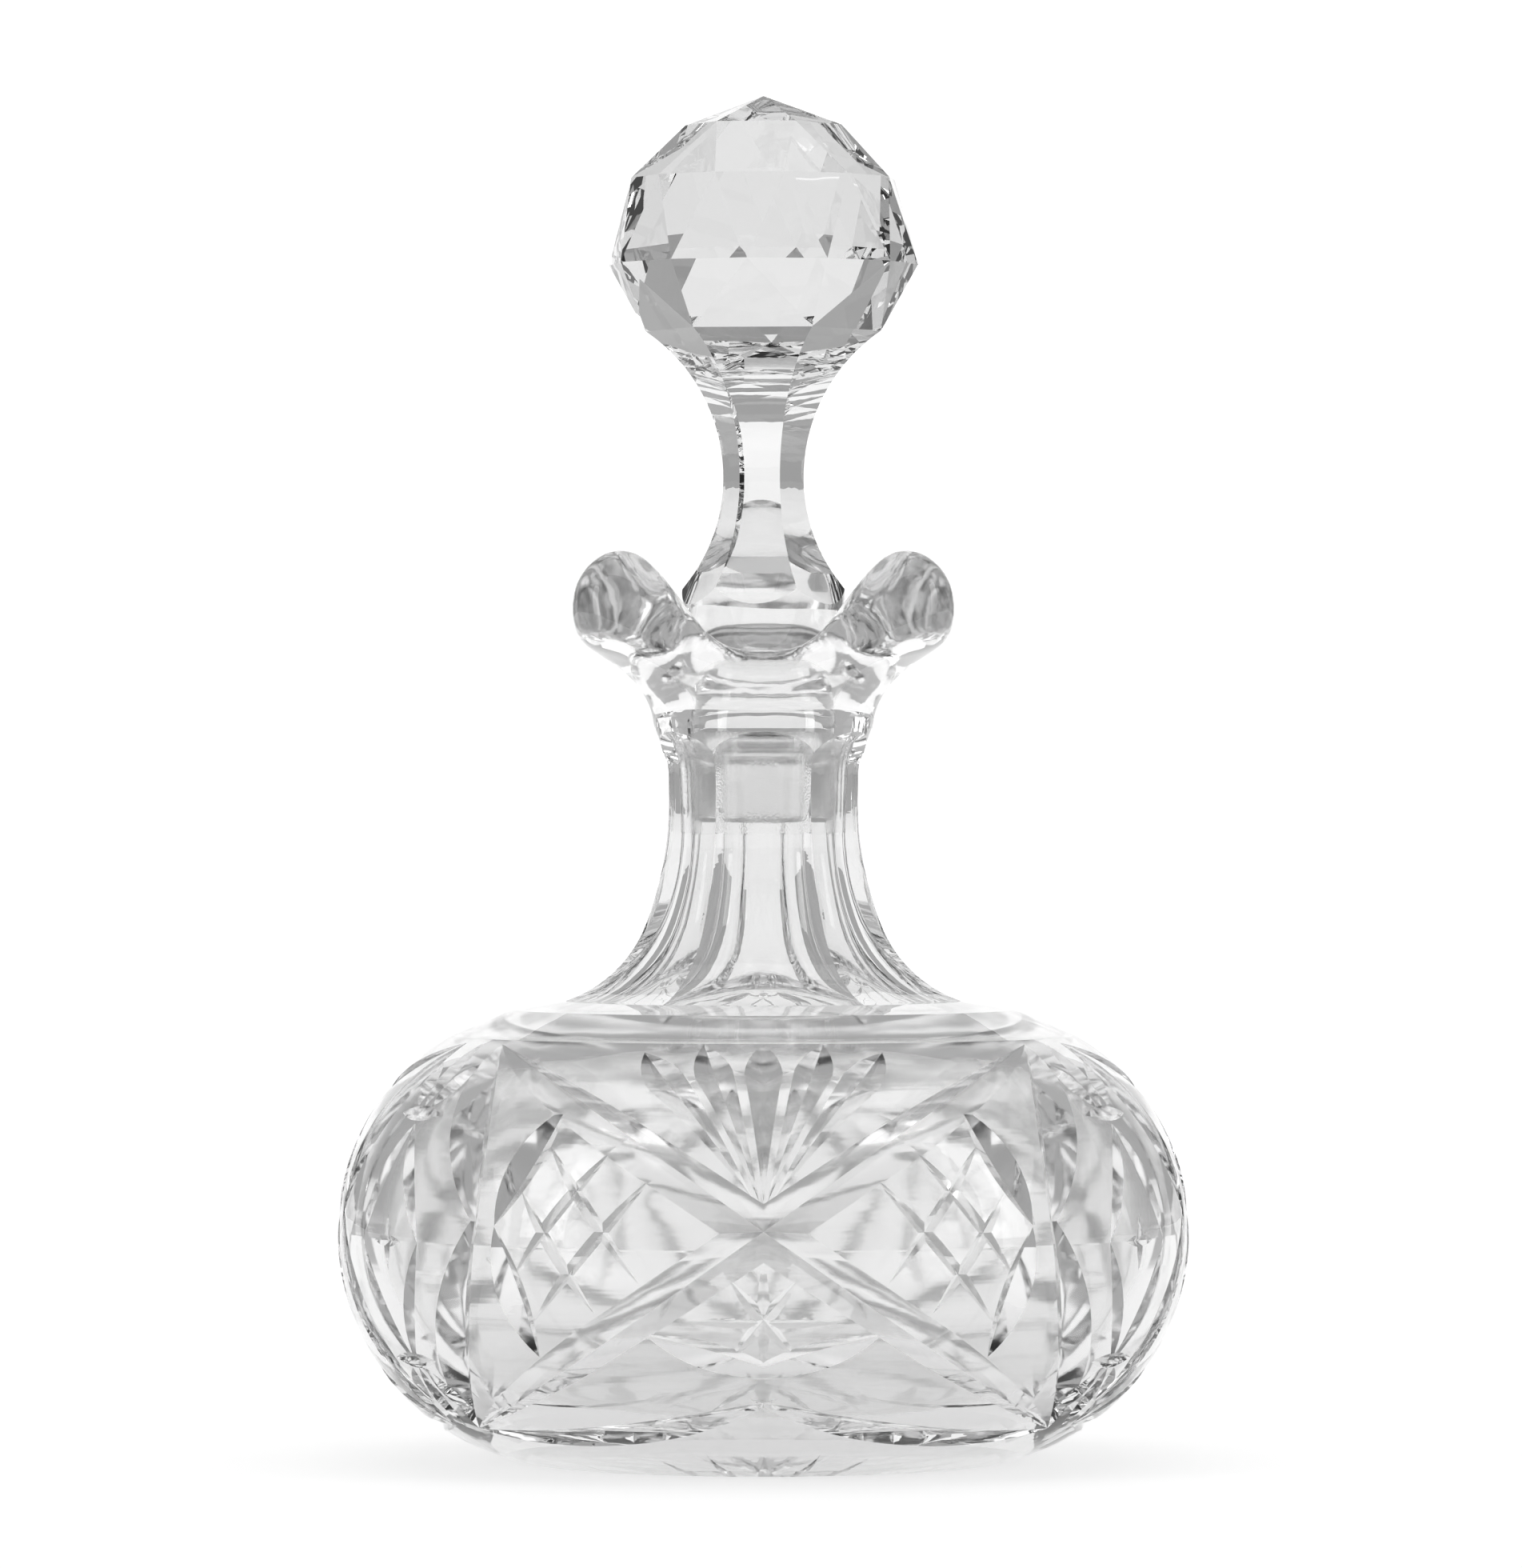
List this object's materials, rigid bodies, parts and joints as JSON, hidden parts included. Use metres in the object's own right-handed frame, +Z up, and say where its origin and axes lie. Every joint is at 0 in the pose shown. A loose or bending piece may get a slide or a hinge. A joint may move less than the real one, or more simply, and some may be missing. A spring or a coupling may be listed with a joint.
{
  "type": "wine decanter",
  "caption": "Squat round cut-glass wine decanter with a fluted neck, a lobed pouring lip and a lift-out faceted ball stopper.",
  "frame": {"origin": "centre of the base, on the surface the decanter stands on", "axes": "+Z up along the bottle's axis, -Y the front face, +X to the right seen from the front"},
  "size_m": [0.1562, 0.1562, 0.25],
  "materials": {
    "crystal": "clear, cut and polished",
    "stopper_crystal": "clear, cut and polished, with a ground plug"
  },
  "bodies": {
    "bottle": {"decanter": "crystal"},
    "stopper": {"stopper": "stopper_crystal"}
  },
  "joints": [
    {"name": "stopper_lift", "type": "slide", "parent": "bottle", "child": "stopper", "axis": [0, 0, 1], "range_m": [0, 0.065]}
  ]
}
